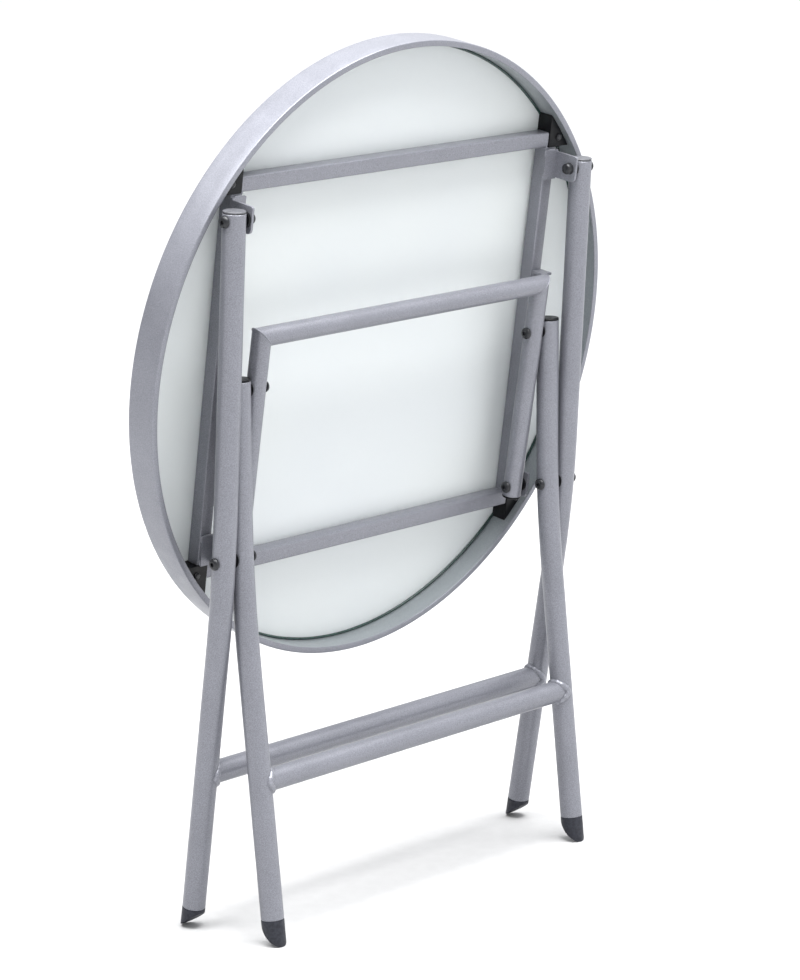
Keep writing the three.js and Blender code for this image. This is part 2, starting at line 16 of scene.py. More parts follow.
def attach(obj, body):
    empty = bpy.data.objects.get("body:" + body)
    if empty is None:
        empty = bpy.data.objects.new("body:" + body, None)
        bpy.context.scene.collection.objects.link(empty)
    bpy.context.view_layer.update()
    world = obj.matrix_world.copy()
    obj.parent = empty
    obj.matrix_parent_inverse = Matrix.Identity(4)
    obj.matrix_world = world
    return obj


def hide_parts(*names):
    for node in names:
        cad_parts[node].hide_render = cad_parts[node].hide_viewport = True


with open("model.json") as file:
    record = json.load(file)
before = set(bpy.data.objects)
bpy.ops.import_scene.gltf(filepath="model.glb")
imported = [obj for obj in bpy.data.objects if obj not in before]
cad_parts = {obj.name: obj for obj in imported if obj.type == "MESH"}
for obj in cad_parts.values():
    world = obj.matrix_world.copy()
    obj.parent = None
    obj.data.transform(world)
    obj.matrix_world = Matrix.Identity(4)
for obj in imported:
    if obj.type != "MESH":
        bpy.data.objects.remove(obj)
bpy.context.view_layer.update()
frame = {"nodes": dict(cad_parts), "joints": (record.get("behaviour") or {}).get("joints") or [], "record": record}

# ---- dimensions shared with the CAD part: millimetres, and angles in radians ----
MM = 0.001
RIM_RADIUS = 350
RIM_HEIGHT = 38
RIM_LIP = 7
GLASS_SEAT = 28.5
GLASS_LOW = 28.8
GLASS_HIGH = 33.8
POCKET = 346
TUBE = 17
FRAME_FRONT = 9.5
CROSSBAR_Z = 214.8
CROSSBAR_HALF = 241
RAIL_X = 246.5
RAIL_HALF = 205.7
LEG_RADIUS = 12.7
STRETCHER_RADIUS = 12.6
LINK_RADIUS = 10.8
OUTER_X = 272.6
INNER_X = 245.6
LINK_X = 220.5
LEG_PIVOT = (-15.4, 186)
LINK_PIVOT = (-15.4, -189)
CROSS = (-46.4, -180)
LINK_JOINT = (-18.7, -2)
BEND_TOP_Z = -125
BEND_LENGTH = 160
OUTER_BEND = math.radians(-5.9)
INNER_BEND = math.radians(6.2)
OUTER_TOE_IN = 0.0155
STRETCHER_DROP = 246
OUTER_FLOOR_DROP = 672.5
INNER_FLOOR_DROP = 669.5
OUTER_FOOT = 17.5
INNER_FOOT = 21.5
OUTER_RISE = 8
INNER_RISE = 11
GRAB_Z = 54.3
LINK_DROP = 11.5
BOLT_HEAD = 6.7
BOLT_DOME = 4.2
CAP_NUT = 3.8
GAP = 0.3

# ---- details that only this model has, in millimetres ------------------------
SHANK_RADIUS = 3.9
SINGLE_SHANK = 23.0
BOOT_EDGE = 1.5
BOOT_SHORTEST = 2.3
SOLE_CLEARANCE = 0.2
OUTER_HEEL = (4.0, 1.0)  # how far the sole rolls up at the heel, and how sharply
INNER_HEEL = (9.5, 1.7)
JOINT_WELD = 4.0  # radius of a weld bead
MITRE_WELD = 0.75
FRAME_WELD = 1.1
WELD_SLICES = 12
FLANGE_WELD_END = 16.4
CORNER_WELD_Z = 206.0
GLASS_SHADE_LINE = 1.5  # radius of the painted shade: a dark green line where the glass meets the rim

mount = frame["record"]["mounts"][0]
glass_normal = Vector(mount["axis"]).normalized()
LEAN = math.atan2(glass_normal.z, glass_normal.y)
ORIGIN = Vector(mount["pos_m"]) - glass_normal * GLASS_HIGH * MM
STAND = Matrix.Translation(ORIGIN) @ Matrix.Rotation(LEAN, 4, "X")
ACROSS = Vector((1, 0, 0))
SIDES = (("right", 1), ("left", -1))

# ---- studio: floor greys, strengths of the surroundings, and the camera ---------
FLOOR_SIZE = 30
FLOOR_NEAR = 0.5
FLOOR_FAR = 0.93
WORLD_TURN = 46.5
WORLD_LEFT = 0.0
WORLD_RIGHT = 1.2
WORLD_TOP = 1.3
CAMERA_AT = (-2.8705, -2.7617, 1.3676)
CAMERA_HEADING = math.radians(46.355)
CAMERA_TILT = math.radians(-12.951)
CAMERA_ROLL = math.radians(-0.165)
CAMERA_LENS = 134.9
CAMERA_SENSOR = 36


# ---- materials ---------------------------------------------------------------
def new_material(name):
    """A node material, with its nodes, links and shader."""
    material = bpy.data.materials.new(name)
    material.use_nodes = True
    nodes = material.node_tree.nodes
    shader = nodes["Principled BSDF"]
    return material, nodes, material.node_tree.links, shader


def noise(nodes, links, scale, detail=2.0, roughness=0.5):
    """A noise texture in object space, where one unit is a metre."""
    coords = nodes.new("ShaderNodeTexCoord")
    texture = nodes.new("ShaderNodeTexNoise")
    texture.inputs["Scale"].default_value = scale
    texture.inputs["Detail"].default_value = detail
    texture.inputs["Roughness"].default_value = roughness
    links.new(coords.outputs["Object"], texture.inputs["Vector"])
    return texture.outputs["Fac"]


def ramp(nodes, links, source, low, high, start=0.35, end=0.65):
    """Maps a texture to a blend between two colours or two greys."""
    node = nodes.new("ShaderNodeValToRGB")
    node.color_ramp.elements[0].position = start
    node.color_ramp.elements[1].position = end
    node.color_ramp.elements[0].color = low
    node.color_ramp.elements[1].color = high
    links.new(source, node.inputs["Fac"])
    return node.outputs["Color"]


def grey(value):
    """An opaque grey as a colour."""
    return (value, value, value, 1)


def bump(nodes, links, source, distance, below=None):
    """Surface relief of a depth in metres, on top of the relief below."""
    node = nodes.new("ShaderNodeBump")
    node.inputs["Distance"].default_value = distance
    node.inputs["Strength"].default_value = 1.0
    links.new(source, node.inputs["Height"])
    if below is not None:
        links.new(below, node.inputs["Normal"])
    return node.outputs["Normal"]


def coated_metal(name, dark, light, roughness, metallic=0.35, flake=950, peel=0.00006):
    """Silver powder coat: fine flake in the colour, slow variation in gloss, orange-peel bump."""
    material, nodes, links, shader = new_material(name)
    flakes = ramp(nodes, links, noise(nodes, links, flake, 3.0, 0.75), dark, light, 0.36, 0.64)
    cloud = ramp(nodes, links, noise(nodes, links, 14, 3.0), grey(0.93), grey(1.0))
    mix = nodes.new("ShaderNodeMix")
    mix.data_type = "RGBA"
    mix.blend_type = "MULTIPLY"
    mix.inputs["Factor"].default_value = 1.0
    links.new(flakes, mix.inputs["A"])
    links.new(cloud, mix.inputs["B"])
    links.new(mix.outputs["Result"], shader.inputs["Base Color"])
    gloss = ramp(nodes, links, noise(nodes, links, 55, 4.0), grey(roughness - 0.05), grey(roughness + 0.06))
    links.new(gloss, shader.inputs["Roughness"])
    shader.inputs["Metallic"].default_value = metallic
    grain = bump(nodes, links, noise(nodes, links, 1900, 2.0), peel * 0.5)
    links.new(bump(nodes, links, noise(nodes, links, 420, 2.0), peel, below=grain), shader.inputs["Normal"])
    return material


def moulded(name, dark, light, roughness, grain=1500, depth=0.00005, specular=0.5):
    """Moulded plastic or rubber: faint mottling, fine spark-eroded grain."""
    material, nodes, links, shader = new_material(name)
    links.new(ramp(nodes, links, noise(nodes, links, 300, 3.0), dark, light), shader.inputs["Base Color"])
    gloss = ramp(nodes, links, noise(nodes, links, 120, 3.0), grey(roughness - 0.06), grey(roughness + 0.08))
    links.new(gloss, shader.inputs["Roughness"])
    shader.inputs["Specular IOR Level"].default_value = specular
    links.new(bump(nodes, links, noise(nodes, links, grain, 2.0), depth), shader.inputs["Normal"])
    return material


def frosted(name):
    """Acid-frosted glass with a pale blue-green cast and a slow drift in tone."""
    material, nodes, links, shader = new_material(name)
    dark, light = (0.71, 0.74, 0.755, 1), (0.76, 0.79, 0.785, 1)
    tone = ramp(nodes, links, noise(nodes, links, 3.0, 2.0), dark, light, 0.3, 0.7)
    links.new(tone, shader.inputs["Base Color"])
    gloss = ramp(nodes, links, noise(nodes, links, 700, 2.0), grey(0.40), grey(0.50))
    links.new(gloss, shader.inputs["Roughness"])
    shader.inputs["IOR"].default_value = 1.5
    shader.inputs["Transmission Weight"].default_value = 0.35
    links.new(bump(nodes, links, noise(nodes, links, 2400, 2.0), 0.00002), shader.inputs["Normal"])
    return material


def studio_paper(name):
    """Pale matt paper, lighter towards the far edges where less lamp light falls."""
    material, nodes, links, shader = new_material(name)
    coords = nodes.new("ShaderNodeTexCoord")
    distance = nodes.new("ShaderNodeVectorMath")
    distance.operation = "LENGTH"
    links.new(coords.outputs["Object"], distance.inputs[0])
    reach = nodes.new("ShaderNodeMapRange")
    reach.inputs["From Min"].default_value = 0.5
    reach.inputs["From Max"].default_value = 5.5
    links.new(distance.outputs["Value"], reach.inputs["Value"])
    low, high = grey(FLOOR_NEAR - 0.01), grey(FLOOR_NEAR + 0.01)
    mottle = ramp(nodes, links, noise(nodes, links, 60, 3.0), low, high)
    mix = nodes.new("ShaderNodeMix")
    mix.data_type = "RGBA"
    mix.inputs["B"].default_value = grey(FLOOR_FAR)
    links.new(reach.outputs["Result"], mix.inputs["Factor"])
    links.new(mottle, mix.inputs["A"])
    links.new(mix.outputs["Result"], shader.inputs["Base Color"])
    gloss = ramp(nodes, links, noise(nodes, links, 25, 2.0), grey(0.72), grey(0.8))
    links.new(gloss, shader.inputs["Roughness"])
    links.new(bump(nodes, links, noise(nodes, links, 60, 2.0), 0.0001), shader.inputs["Normal"])
    return material


STEEL = coated_metal("silver_coat", (0.160, 0.164, 0.187, 1), (0.252, 0.257, 0.290, 1), 0.36)
# The rim is the same silver paint as the frame; this slightly lighter copy is painted light falling from above on
# the rim.
BAND_PAINTED_LIGHT = coated_metal("rim_coat_painted_light", (0.175, 0.180, 0.207, 1), (0.260, 0.265, 0.298, 1), 0.36)
# The rim's inner wall is the same silver paint; this lighter, blue-green copy is painted light and painted
# reflection of the glass.
WALL_PAINTED_REFLECTION = coated_metal("rim_wall_painted_reflection", (0.225, 0.248, 0.262, 1), (0.310, 0.335, 0.352, 1), 0.34, peel=0.00003)
# The welds are the same silver paint as the frame; this slightly lighter copy is painted highlight on the beads.
WELD = coated_metal(
    "weld_coat_painted_highlight", (0.175, 0.180, 0.205, 1), (0.280, 0.285, 0.320, 1), 0.36, flake=800, peel=0.00012
)
BLACK = moulded("black_moulding", (0.002, 0.0022, 0.003, 1), (0.005, 0.0055, 0.007, 1), 0.38, specular=0.2)
FASTENER = coated_metal("black_bolt", (0.010, 0.011, 0.013, 1), (0.022, 0.023, 0.027, 1), 0.30, metallic=0.2)
PLUG = moulded("grey_plug", (0.07, 0.072, 0.080, 1), (0.10, 0.102, 0.114, 1), 0.45)
FOOT = moulded(
    "foot_boot", (0.012, 0.013, 0.020, 1), (0.024, 0.026, 0.036, 1), 0.52, grain=900, specular=0.35
)
GLASS = frosted("frosted_glass")
# Dark green for the ring where the glass meets the rim: painted shade and dark refraction at the glass's edge.
EDGE_PAINTED_SHADE = moulded("glass_edge_painted_shade", (0.008, 0.026, 0.022, 1), (0.020, 0.050, 0.044, 1), 0.16, grain=300)
PAD = moulded("clear_pad", (0.55, 0.60, 0.58, 1), (0.65, 0.70, 0.68, 1), 0.30)
FLOOR = studio_paper("studio_floor")


# ---- mesh building -----------------------------------------------------------
def make(name, points, faces, material, body, covers=(), angle=38):
    """A piece that rides on a body, from points in millimetres; covers names the CAD nodes it replaces."""
    mesh = bpy.data.meshes.new(name)
    mesh.from_pydata([STAND @ (Vector(p) * MM) for p in points], [], faces)
    shell = bmesh.new()
    shell.from_mesh(mesh)
    bmesh.ops.remove_doubles(shell, verts=shell.verts, dist=1e-6)
    bmesh.ops.recalc_face_normals(shell, faces=shell.faces)
    shell.to_mesh(mesh)
    shell.free()
    mesh.shade_smooth()
    mesh.set_sharp_from_angle(angle=math.radians(angle))
    mesh.materials.append(material)
    piece = bpy.data.objects.new(name, mesh)
    bpy.context.scene.collection.objects.link(piece)
    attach(piece, body)
    if covers:
        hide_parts(*covers)
    return piece


def ring(centre, u, v, radius, count=48):
    """Points on a circle in the plane of u and v."""
    steps = [2 * math.pi * i / count for i in range(count)]
    return [centre + u * (radius * math.cos(a)) + v * (radius * math.sin(a)) for a in steps]


def skin(rings, loop=False):
    """Points and faces of a surface through rings with equal counts; loop joins the last to the first."""
    count = len(rings[0])
    points = [p for one in rings for p in one]
    faces = []
    for k in range(len(rings) if loop else len(rings) - 1):
        a, b = k * count, (k + 1) % len(rings) * count
        for i in range(count):
            j = (i + 1) % count
            faces.append((a + i, a + j, b + j, b + i))
    if not loop:
        faces.append(tuple(range(count)))
        faces.append(tuple(range((len(rings) - 1) * count, len(rings) * count)))
    return points, faces


def turned(profile, centre, axis, count=48):
    """Rings of a turned part. A profile entry is (radius, height) or (across flats, height, "hex")."""
    u = ACROSS if abs(axis.x) < 0.9 else Vector((0, 1, 0))
    u = (u - axis * u.dot(axis)).normalized()
    v = axis.cross(u)
    rings = []
    for entry in profile:
        radius, height = max(entry[0], 0.01), entry[1]
        one = []
        for i in range(count):
            a = 2 * math.pi * i / count
            r = radius
            if len(entry) == 3:
                r = radius / 2 / math.cos((a % (math.pi / 3)) - math.pi / 6)
            one.append(centre + axis * height + u * (r * math.cos(a)) + v * (r * math.sin(a)))
        rings.append(one)
    return skin(rings)


def arc(centre, radius, start, end, steps):
    """Points on an arc of a profile, angles in degrees."""
    turns = [math.radians(start + (end - start) * i / steps) for i in range(steps + 1)]
    return [(centre[0] + radius * math.cos(t), centre[1] + radius * math.sin(t)) for t in turns]


def on_circle(radius, y, a):
    """Point on a circle about the y axis through the tabletop's centre."""
    return Vector((radius * math.cos(a), y, radius * math.sin(a)))


def spun(profile, count=288):
    """Closed ring about the y axis through the tabletop's centre, from (radius, y) points."""
    turns = [2 * math.pi * i / count for i in range(count)]
    return skin([[on_circle(r, y, a) for r, y in profile] for a in turns], loop=True)


def disc(profile, count=288):
    """Disc about the y axis: rings from (radius, y) points that run out and back, with closed ends."""
    turns = [2 * math.pi * i / count for i in range(count)]
    return skin([[on_circle(r, y, a) for a in turns] for r, y in profile])


def both_sides(points, sign):
    """Points built for the right-hand side, mirrored for the left when sign is -1."""
    return [Vector((p.x * sign, p.y, p.z)) for p in points]


def joined(parts):
    """Several (points, faces) meshes as one."""
    points, faces = [], []
    for more, more_faces in parts:
        faces += [tuple(i + len(points) for i in face) for face in more_faces]
        points += more
    return points, faces


def bead(path, radius, seed, closed=False, pitch=2.6):
    """A weld bead along a line of points: a round run with overlapping ripples and a little wander."""
    rng = random.Random(seed)
    count = len(path)
    rings = []
    run = 0.0
    for i, point in enumerate(path):
        after = path[(i + 1) % count] if closed or i + 1 < count else point
        before = path[i - 1] if closed or i > 0 else point
        along = (after - before).normalized()
        u = along.cross(Vector((0.31, 0.87, 0.38))).normalized()
        v = along.cross(u)
        run += (point - before).length
        wave = 1 + 0.08 * math.cos(2 * math.pi * run / pitch) + rng.uniform(-0.04, 0.04)
        size = radius * wave
        if not closed:
            size *= math.sqrt(max(0.04, 1 - (2 * i / (count - 1) - 1) ** 6))
        rings.append(ring(point, u, v, size, WELD_SLICES))
    return skin(rings, loop=closed)


# ---- leg geometry ------------------------------------------------------------
joints = {joint["name"]: joint for joint in frame["joints"]}
OUTER_TURN = math.radians(joints["top_tilt"]["range_deg"][1])
INNER_TURN = OUTER_TURN + math.radians(joints["leg_spread"]["range_deg"][1])


def span(p, q):
    """Distance between two points of a side view."""
    return math.hypot(q[0] - p[0], q[1] - p[1])


def open_cross_height():
    """How far below the rim plane the leg crossing stands when the table is open."""
    arm = span(LEG_PIVOT, CROSS)
    heading = math.atan2(LEG_PIVOT[0] - CROSS[0], LEG_PIVOT[1] - CROSS[1]) + OUTER_TURN
    return LEG_PIVOT[0] - arm * math.sin(heading)


CROSS_OPEN = open_cross_height()


def floor_height(point, turn, floor_drop):
    """How far a point of a leg stands above the floor once the table is open."""
    swung = (point.y - CROSS[0]) * math.cos(turn) + (point.z - CROSS[1]) * math.sin(turn)
    return CROSS_OPEN + swung + floor_drop


def down_at(slope):
    """Direction down a leg that leans by slope."""
    return Vector((0, -math.sin(slope), -math.cos(slope)))


def side_at(slope):
    """Direction square to such a leg, towards the glass."""
    return Vector((0, math.cos(slope), -math.sin(slope)))


def leg_centres(upper, rise, bend, toe_in, x, steps=16):
    """Centres and slopes of a leg from its top down to the end of its bend."""

    def trace(slope, cells):
        spot = Vector((x, upper[0] - (upper[1] - BEND_TOP_Z) * math.tan(slope), BEND_TOP_Z))
        spots, slopes = [spot], [slope]
        for i in range(cells):
            middle = slope + bend * (i + 0.5) / cells
            spots.append(spots[-1] + down_at(middle) * (BEND_LENGTH / cells))
            slopes.append(slope + bend * (i + 1) / cells)
        return spots, slopes

    def miss(slope):
        """How far a leg of this slope passes from the crossing pivot, along y."""
        spots, _ = trace(slope, 6)
        k = next(i for i, p in enumerate(spots) if p.z < CROSS[1])
        t = (spots[k - 1].z - CROSS[1]) / (spots[k - 1].z - spots[k].z)
        return spots[k - 1].y + t * (spots[k].y - spots[k - 1].y) - CROSS[0]

    low, high = -0.5, 0.5
    for _ in range(60):
        middle = (low + high) / 2
        if miss(middle) > 0:
            low = middle
        else:
            high = middle
    slope = (low + high) / 2
    spots, slopes = trace(slope, steps)
    top = Vector((x, upper[0], upper[1])) - down_at(slope) * rise
    spots, slopes = [top] + spots, [slope] + slopes
    for spot in spots:
        spot.x -= toe_in * max(0.0, CROSS[1] - spot.z)
    return spots, slopes


class Leg:
    """One leg on the right-hand side, and where its foot, cap and stretcher sit."""

    def __init__(self, x, upper, rise, bend, toe_in, turn, floor_drop, foot):
        self.turn = turn
        self.floor_drop = floor_drop
        self.spots, self.slopes = leg_centres(upper, rise, bend, toe_in, x)
        self.down = down_at(self.slopes[-1])
        self.side = side_at(self.slopes[-1])
        last = self.spots[-1]
        self.fall = self.height(last) - self.height(last + self.down)
        reach = self.height(last) / self.fall - foot
        self.end = last + self.down * reach
        self.end.x = x - toe_in * max(0.0, CROSS[1] - self.end.z)
        self.up = down_at(self.slopes[0]) * -1
        travelled = span((last.y, last.z), CROSS)
        self.stretcher = last + self.down * (STRETCHER_DROP - travelled)
        self.stretcher.x = x - toe_in * max(0.0, CROSS[1] - self.stretcher.z)

    def height(self, point):
        """Height above the floor of the open table, negative below it."""
        return floor_height(point, self.turn, self.floor_drop)

    def tube(self):
        """Tube with slightly rounded ends."""
        spots = self.spots + [self.end]
        slopes = self.slopes + [self.slopes[-1]]
        rings = [ring(spots[0], ACROSS, side_at(slopes[0]), LEG_RADIUS - 0.5)]
        rings.append(ring(spots[0] - self.up * 0.5, ACROSS, side_at(slopes[0]), LEG_RADIUS))
        for spot, slope in zip(spots[1:-1], slopes[1:-1]):
            rings.append(ring(spot, ACROSS, side_at(slope), LEG_RADIUS))
        rings.append(ring(self.end - self.down * 0.5, ACROSS, self.side, LEG_RADIUS))
        rings.append(ring(self.end, ACROSS, self.side, LEG_RADIUS - 0.5))
        return skin(rings)

    def boot(self, heel_rise, power):
        """Boot whose sole is level at the tip and rolls up towards the heel, by heel_rise mm."""
        rings = []
        for height, radius in ((-0.4, 11.4), (0.15, 11.9), (0.15, 12.5), (0.8, 12.75), (2.2, 12.7)):
            rings.append(ring(self.end + self.down * height, ACROSS, self.side, radius))
        for i in range(5):
            a = math.pi / 2 * i / 4
            radius = LEG_RADIUS - BOOT_EDGE * (1 - math.cos(a))
            rings.append(self.sole(radius, BOOT_EDGE * (1 - math.sin(a)), heel_rise, power))
        for radius in (10, 8, 6, 4, 2):
            rings.append(self.sole(radius, 0, heel_rise, power))
        return skin(rings)

    def sole(self, radius, lift, heel_rise, power):
        """One ring of the sole; lift raises it for the rounded edge."""
        centre_reach = self.height(self.end) / self.fall
        swing = abs(self.height(self.end + self.side * LEG_RADIUS) / self.fall - centre_reach)
        points = []
        for p in ring(self.end, ACROSS, self.side, radius):
            reach = self.height(p) / self.fall
            along = (reach - centre_reach) / swing
            roll = heel_rise * max(0.0, (1 - along) / 2) ** power
            reach -= lift + roll + SOLE_CLEARANCE
            points.append(p + self.down * max(reach, BOOT_SHORTEST))
        return points


OUTER = Leg(
    OUTER_X, LEG_PIVOT, OUTER_RISE, OUTER_BEND, OUTER_TOE_IN, OUTER_TURN, OUTER_FLOOR_DROP, OUTER_FOOT
)
INNER = Leg(INNER_X, LINK_JOINT, INNER_RISE, INNER_BEND, 0, INNER_TURN, INNER_FLOOR_DROP, INNER_FOOT)


def stretcher_joint(leg):
    """Line where the stretcher's skin meets its leg, on the right-hand side."""
    points = []
    reach = LEG_RADIUS - 0.6
    radius = STRETCHER_RADIUS - 0.8
    for i in range(72):
        a = 2 * math.pi * i / 72
        offset = radius * math.cos(a)
        along = radius * math.sin(a)
        x = leg.stretcher.x - math.sqrt(max(0.6, reach**2 - offset**2))
        middle = Vector((x, leg.stretcher.y, leg.stretcher.z))
        points.append(middle + leg.side * offset + leg.down * along)
    return points


def build_leg_frame(kind, leg, body, heel):
    """Tubes, boots and stretcher of one leg frame, with the welds at the stretcher's ends."""
    for side, sign in SIDES:
        points, faces = leg.tube()
        points = both_sides(points, sign)
        make(f"{kind}_tube_{side}", points, faces, STEEL, body, [f"{kind}_leg_{side}"])
        points, faces = leg.boot(*heel)
        points = both_sides(points, sign)
        make(f"{kind}_boot_{side}", points, faces, FOOT, body, [f"{kind}_foot_{side}"], 50)
        seed = sign + len(kind)
        points, faces = bead(stretcher_joint(leg), JOINT_WELD, seed, closed=True, pitch=6.0)
        points = both_sides(points, sign)
        make(f"{kind}_weld_{side}", points, faces, WELD, body, angle=180)
    centre = leg.stretcher
    half = centre.x - 1.2
    middle = Vector((0, centre.y, centre.z))
    rings = [ring(middle + ACROSS * x, leg.side, leg.down, STRETCHER_RADIUS) for x in (-half, half)]
    points, faces = skin(rings)
    make(f"{kind}_crosstube", points, faces, STEEL, body, [f"{kind}_stretcher"])


build_leg_frame("outer", OUTER, "outer_leg_frame", OUTER_HEEL)
build_leg_frame("inner", INNER, "inner_leg_frame", INNER_HEEL)

for side, sign in SIDES:
    top = OUTER.spots[0]
    body = "outer_leg_frame"
    # A black ring in the gap between the tube's end and the plug: painted shade of the gap.
    points, faces = turned([(11.2, -0.3), (12.0, -0.3), (12.0, 1.0), (11.2, 1.0)], top, OUTER.up)
    points = both_sides(points, sign)
    make(f"outer_plug_gap_shade_{side}", points, faces, BLACK, body)
    profile = [(11.4, 0.9), (12.2, 0.9)] + arc((11.5, 1.9), 1.0, 0, 90, 5) + [(9, 2.98), (5, 3.0)]
    points, faces = turned(profile, top, OUTER.up)
    points = both_sides(points, sign)
    make(f"outer_plug_{side}", points, faces, PLUG, body, [f"outer_top_plug_{side}"])
    top = INNER.spots[0]
    body = "inner_leg_frame"
    profile = [(11.2, 0.1), (12.6, 0.2)] + arc((11.1, 1.4), 1.5, 0, 90, 5) + [(8, 2.96), (4, 3.0)]
    points, faces = turned(profile, top, INNER.up)
    points = both_sides(points, sign)
    make(f"inner_cap_{side}", points, faces, BLACK, body, [f"inner_top_cap_{side}"])


# ---- link frame --------------------------------------------------------------
link_slope = math.atan2(LINK_JOINT[0] - LINK_PIVOT[0], LINK_JOINT[1] - LINK_PIVOT[1])
LINK_UP = Vector((0, math.sin(link_slope), math.cos(link_slope)))
LINK_SIDE = Vector((0, math.cos(link_slope), -math.sin(link_slope)))
LINK_FOOT = Vector((LINK_X, *LINK_PIVOT))
LINK_TOP = LINK_FOOT + LINK_UP * ((GRAB_Z - LINK_PIVOT[1]) / LINK_UP.z)


def mitred(points):
    """Slides ring points along the link to its 45 degree cut with the grab bar."""
    return [p + LINK_UP * (p.x - LINK_X) for p in points]


for side, sign in SIDES:
    body = "link_frame"
    start = LINK_FOOT - LINK_UP * LINK_DROP
    rings = [
        ring(start, ACROSS, LINK_SIDE, LINK_RADIUS - 0.5),
        ring(start + LINK_UP * 0.5, ACROSS, LINK_SIDE, LINK_RADIUS),
        mitred(ring(LINK_TOP, ACROSS, LINK_SIDE, LINK_RADIUS)),
    ]
    points, faces = skin(rings)
    points = both_sides(points, sign)
    make(f"link_tube_{side}", points, faces, STEEL, body, [f"link_{side}"])
    seam = mitred(ring(LINK_TOP, ACROSS, LINK_SIDE, LINK_RADIUS - 0.15, 72))
    points, faces = bead(seam, MITRE_WELD, 40 + sign, closed=True, pitch=1.9)
    points = both_sides(points, sign)
    make(f"mitre_weld_{side}", points, faces, WELD, body, angle=180)
    profile = [(9.3, 0.2), (10.7, 0.3)] + arc((9.5, 1.3), 1.2, 0, 90, 5) + [(6, 2.5), (3, 2.6)]
    points, faces = turned(profile, start, LINK_UP * -1)
    points = both_sides(points, sign)
    make(f"link_cap_{side}", points, faces, BLACK, body, [f"link_plug_{side}"])

grab_rings = []
for sign in (-1, 1):
    centre = Vector((sign * LINK_X, LINK_TOP.y, LINK_TOP.z))
    one = ring(centre, LINK_SIDE, LINK_UP, LINK_RADIUS)
    grab_rings.append([p + ACROSS * (sign * (p - centre).dot(LINK_UP)) for p in one])
points, faces = skin(grab_rings)
make("grab_tube", points, faces, STEEL, "link_frame", ["grab_bar"])


# ---- bolts and washers ---------------------------------------------------------
def bolt_head(x, outward, yz):
    """Button head with a hexagon socket; x is the face that it sits on."""
    dome = []
    for i in range(8):
        a = math.pi / 2 * i / 7
        r = 2.75 + (BOLT_HEAD - 2.75) * math.cos(a)
        dome.append((r, 1.0 + (BOLT_DOME - 1.0) * math.sin(a)))
    profile = [(5.8, 0.0), (BOLT_HEAD - 0.3, 0.0), (BOLT_HEAD, 0.3)] + dome
    profile += [(4.6, BOLT_DOME - 0.05, "hex"), (4.3, 2.0, "hex"), (1.0, 1.7)]
    return turned(profile, Vector((x, *yz)), ACROSS * outward)


def cap_nut(x, outward, yz):
    """Domed nut with a thin flange and a tall wall."""
    wall = CAP_NUT + 0.8
    profile = [(5.8, 0.0), (BOLT_HEAD - 0.2, 0.0), (BOLT_HEAD, 0.2), (BOLT_HEAD, 0.9), (BOLT_HEAD - 0.4, 1.2)]
    profile.append((BOLT_HEAD - 0.4, wall))
    for i in range(1, 9):
        a = math.pi / 2 * i / 8
        profile.append(((BOLT_HEAD - 0.4) * math.cos(a), wall + (BOLT_DOME - 0.9) * math.sin(a)))
    return turned(profile, Vector((x, *yz)), ACROSS * outward)


def place_bolt(name, body, yz, faces_at, covers, inner_end=bolt_head):
    """Bolts with a head on each (x, direction) face, and a shank from the first face to the last."""
    low = faces_at[0][0]
    high = faces_at[-1][0] if len(faces_at) > 1 else low + SINGLE_SHANK
    for side, sign in SIDES:
        parts = [(inner_end if outward < 0 else bolt_head)(x, outward, yz) for x, outward in faces_at]
        shank = [(SHANK_RADIUS, 0), (SHANK_RADIUS, high - low)]
        parts.append(turned(shank, Vector((low, *yz)), ACROSS))
        points, faces = joined(parts)
        points = both_sides(points, sign)
        make(f"{name}_{side}", points, faces, FASTENER, body, [f"{covers}_{side}"], 30)


def place_washer(name, body, yz, low, high, radius, covers):
    """Plastic washers between x = low and x = high."""
    edge = 0.3
    profile = [(4.4, low), (radius - edge, low), (radius, low + edge)]
    profile += [(radius, high - edge), (radius - edge, high), (4.4, high)]
    for side, sign in SIDES:
        points, faces = turned(profile, Vector((0, *yz)), ACROSS)
        points = both_sides(points, sign)
        make(f"{name}_{side}", points, faces, BLACK, body, [f"{covers}_{side}"], 30)


rail_out, rail_in = RAIL_X + TUBE / 2, RAIL_X - TUBE / 2
ear_out = rail_out + 1.4
ear_in = ear_out - 3
link_ear_out, link_ear_in = rail_in, rail_in - 3
outer_in, outer_out = OUTER_X - LEG_RADIUS, OUTER_X + LEG_RADIUS
inner_in, inner_out = INNER_X - LEG_RADIUS, INNER_X + LEG_RADIUS
link_in, link_out = LINK_X - LINK_RADIUS, LINK_X + LINK_RADIUS

top_faces = [(ear_in - GAP, -1), (outer_out + GAP, 1)]
cross_faces = [(inner_in - GAP, -1), (outer_out + GAP, 1)]
lock_faces = [(link_in - GAP, -1)]
link_faces = [(link_in - GAP, -1), (link_ear_out + GAP, 1)]
place_bolt("top_bolt", "outer_leg_frame", LEG_PIVOT, top_faces, "top_pivot_bolt", cap_nut)
place_bolt("cross_bolt", "outer_leg_frame", CROSS, cross_faces, "cross_pivot_bolt")
place_bolt("lock_bolt", "link_frame", LINK_JOINT, lock_faces, "lock_pivot_bolt")
place_bolt("link_bolt", "link_frame", LINK_PIVOT, link_faces, "link_pivot_bolt")

washers = (
    ("top_washer", "outer_leg_frame", LEG_PIVOT, ear_out, outer_in, 9, "top_pivot_washer"),
    ("cross_washer", "outer_leg_frame", CROSS, inner_out, outer_in, 9, "cross_pivot_washer"),
    ("lock_washer", "link_frame", LINK_JOINT, link_out, inner_in, 8, "lock_pivot_washer"),
    ("link_washer", "link_frame", LINK_PIVOT, link_out, link_ear_in, 8, "link_pivot_washer"),
)
for name, body, yz, low, high, radius, covers in washers:
    place_washer(name, body, yz, low + GAP, high - GAP, radius, covers)


